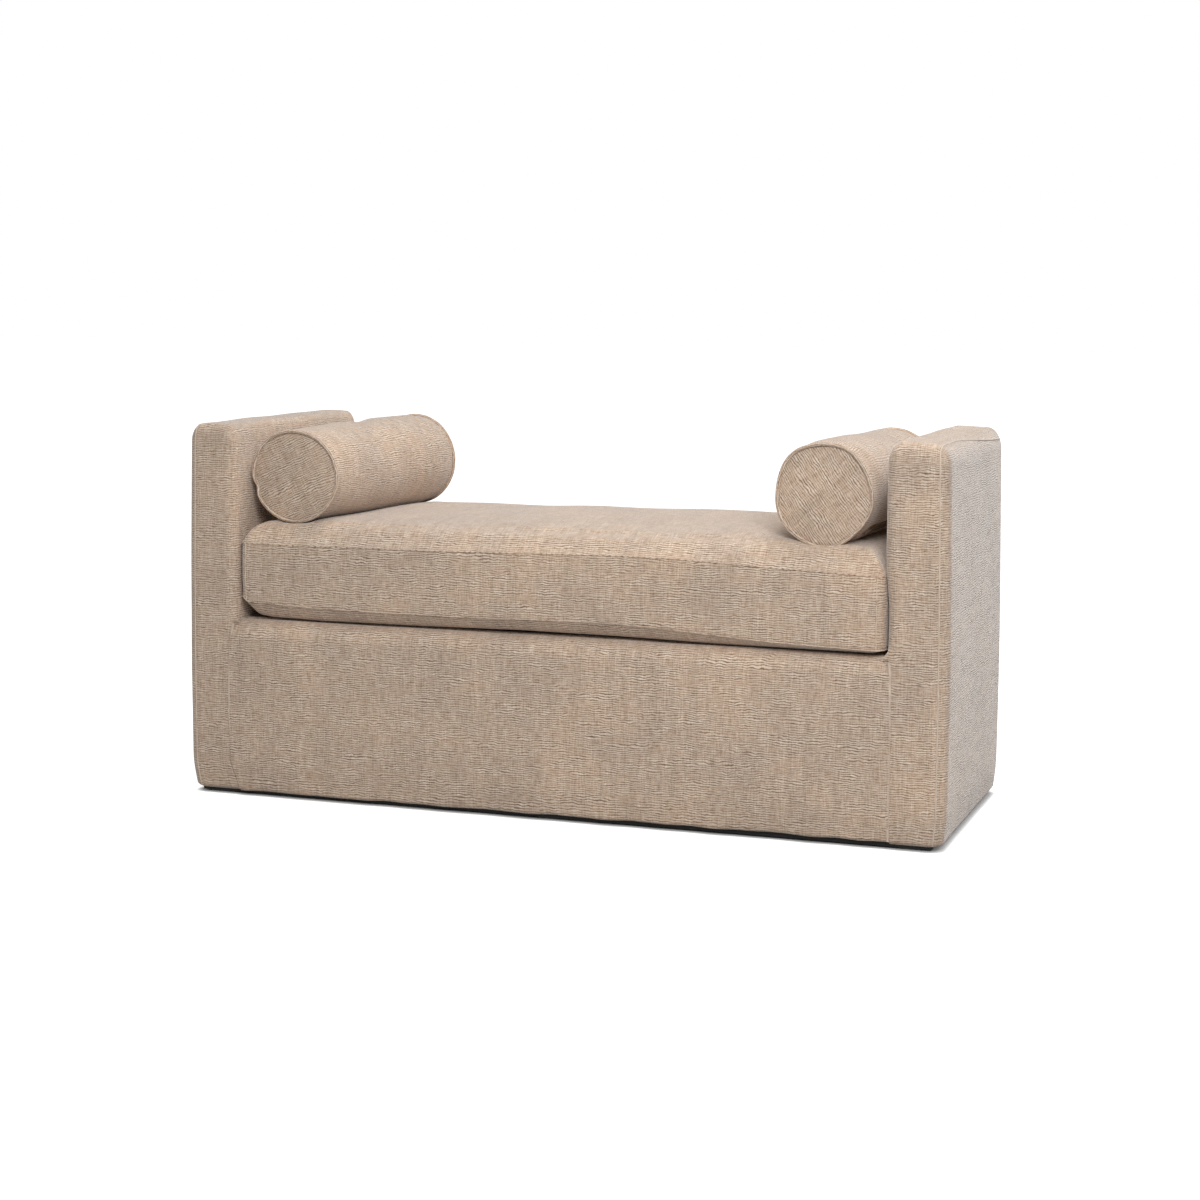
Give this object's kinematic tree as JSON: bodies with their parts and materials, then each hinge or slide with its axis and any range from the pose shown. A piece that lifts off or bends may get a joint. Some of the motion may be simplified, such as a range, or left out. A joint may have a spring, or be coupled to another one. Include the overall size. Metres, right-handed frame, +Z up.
{
  "type": "backless upholstered divan",
  "caption": "Backless upholstered divan with two high padded arms, a sprung base on a recessed plinth, a loose box cushion and two welted bolsters.",
  "frame": {"origin": "on the floor, under the middle of the divan", "axes": "+X to the right as seen from the front, +Y to the back, +Z up"},
  "size_m": [1.4298, 0.533, 0.686],
  "materials": {
    "cover_fabric": "tan-beige crinkled chenille with fine horizontal ribs",
    "deck_lining": "plain woven lining cloth",
    "dust_cloth": "black non-woven cloth",
    "foam": "open-cell foam",
    "fibre_fill": "white polyester fibre",
    "hardwood": "planed, unfinished",
    "plywood": "sanded birch ply",
    "hardboard": "smooth pressed board",
    "webbing": "black elastic webbing",
    "plinth_black": "stained black",
    "zip_tape": "woven tape with a coil chain",
    "zip_metal": "enamelled to match the tape",
    "steel": "zinc plated",
    "glide_plastic": "moulded"
  },
  "bodies": {
    "divan": {"arm_bolts": "steel", "centre_rib": "plywood", "corner_blocks": "hardwood", "cross_webbing": "webbing", "deck_cover": "deck_lining", "deck_pad": "foam", "dust_cover": "dust_cloth", "floor_glides": "glide_plastic", "front_board": "hardboard", "front_bottom_rail": "hardwood", "front_edge_roll": "foam", "front_padding": "foam", "front_panel_cover": "cover_fabric", "front_plinth": "plinth_black", "front_seat_rail": "hardwood", "left_arm_bottom_rail": "hardwood", "left_arm_cover": "cover_fabric", "left_arm_front_post": "hardwood", "left_arm_inner_board": "hardboard", "left_arm_outer_board": "hardboard", "left_arm_padding": "foam", "left_arm_rear_post": "hardwood", "left_arm_seat_rail": "hardwood", "left_arm_top_rail": "hardwood", "left_end_panel": "plywood", "left_plinth": "plinth_black", "long_webbing": "webbing", "rail_studs": "hardwood", "rear_board": "hardboard", "rear_bottom_rail": "hardwood", "rear_edge_roll": "foam", "rear_padding": "foam", "rear_panel_cover": "cover_fabric", "rear_plinth": "plinth_black", "rear_seat_rail": "hardwood", "right_arm_bottom_rail": "hardwood", "right_arm_cover": "cover_fabric", "right_arm_front_post": "hardwood", "right_arm_inner_board": "hardboard", "right_arm_outer_board": "hardboard", "right_arm_padding": "foam", "right_arm_rear_post": "hardwood", "right_arm_seat_rail": "hardwood", "right_arm_top_rail": "hardwood", "right_end_panel": "plywood", "right_plinth": "plinth_black"},
    "seat_cushion": {"seat_cushion_cover": "cover_fabric", "seat_cushion_wrap": "fibre_fill", "seat_cushion_foam": "foam", "seat_cushion_zip": "zip_tape"},
    "seat_zip_slider": {"seat_cushion_zip_slider": "zip_metal"},
    "left_bolster": {"left_bolster_cover": "cover_fabric", "left_bolster_pad": "fibre_fill", "left_bolster_zip": "zip_tape"},
    "left_zip_slider": {"left_bolster_zip_slider": "zip_metal"},
    "right_bolster": {"right_bolster_cover": "cover_fabric", "right_bolster_pad": "fibre_fill", "right_bolster_zip": "zip_tape"},
    "right_zip_slider": {"right_bolster_zip_slider": "zip_metal"}
  },
  "joints": [
    {"name": "seat_cushion_lift", "type": "slide", "parent": "divan", "child": "seat_cushion", "axis": [0, 0, 1], "range_m": [0, 0.4]},
    {"name": "left_bolster_lift", "type": "slide", "parent": "seat_cushion", "child": "left_bolster", "axis": [0, 0, 1], "range_m": [0, 0.4]},
    {"name": "right_bolster_lift", "type": "slide", "parent": "seat_cushion", "child": "right_bolster", "axis": [0, 0, 1], "range_m": [0, 0.4]},
    {"name": "seat_zip_slide", "type": "slide", "parent": "seat_cushion", "child": "seat_zip_slider", "axis": [-1, 0, 0], "range_m": [0, 1]},
    {"name": "left_zip_slide", "type": "slide", "parent": "left_bolster", "child": "left_zip_slider", "axis": [0.1219, 0.9925, 0], "range_m": [0, 0.32]},
    {"name": "right_zip_slide", "type": "slide", "parent": "right_bolster", "child": "right_zip_slider", "axis": [0.0523, 0.9986, 0], "range_m": [0, 0.32]}
  ]
}
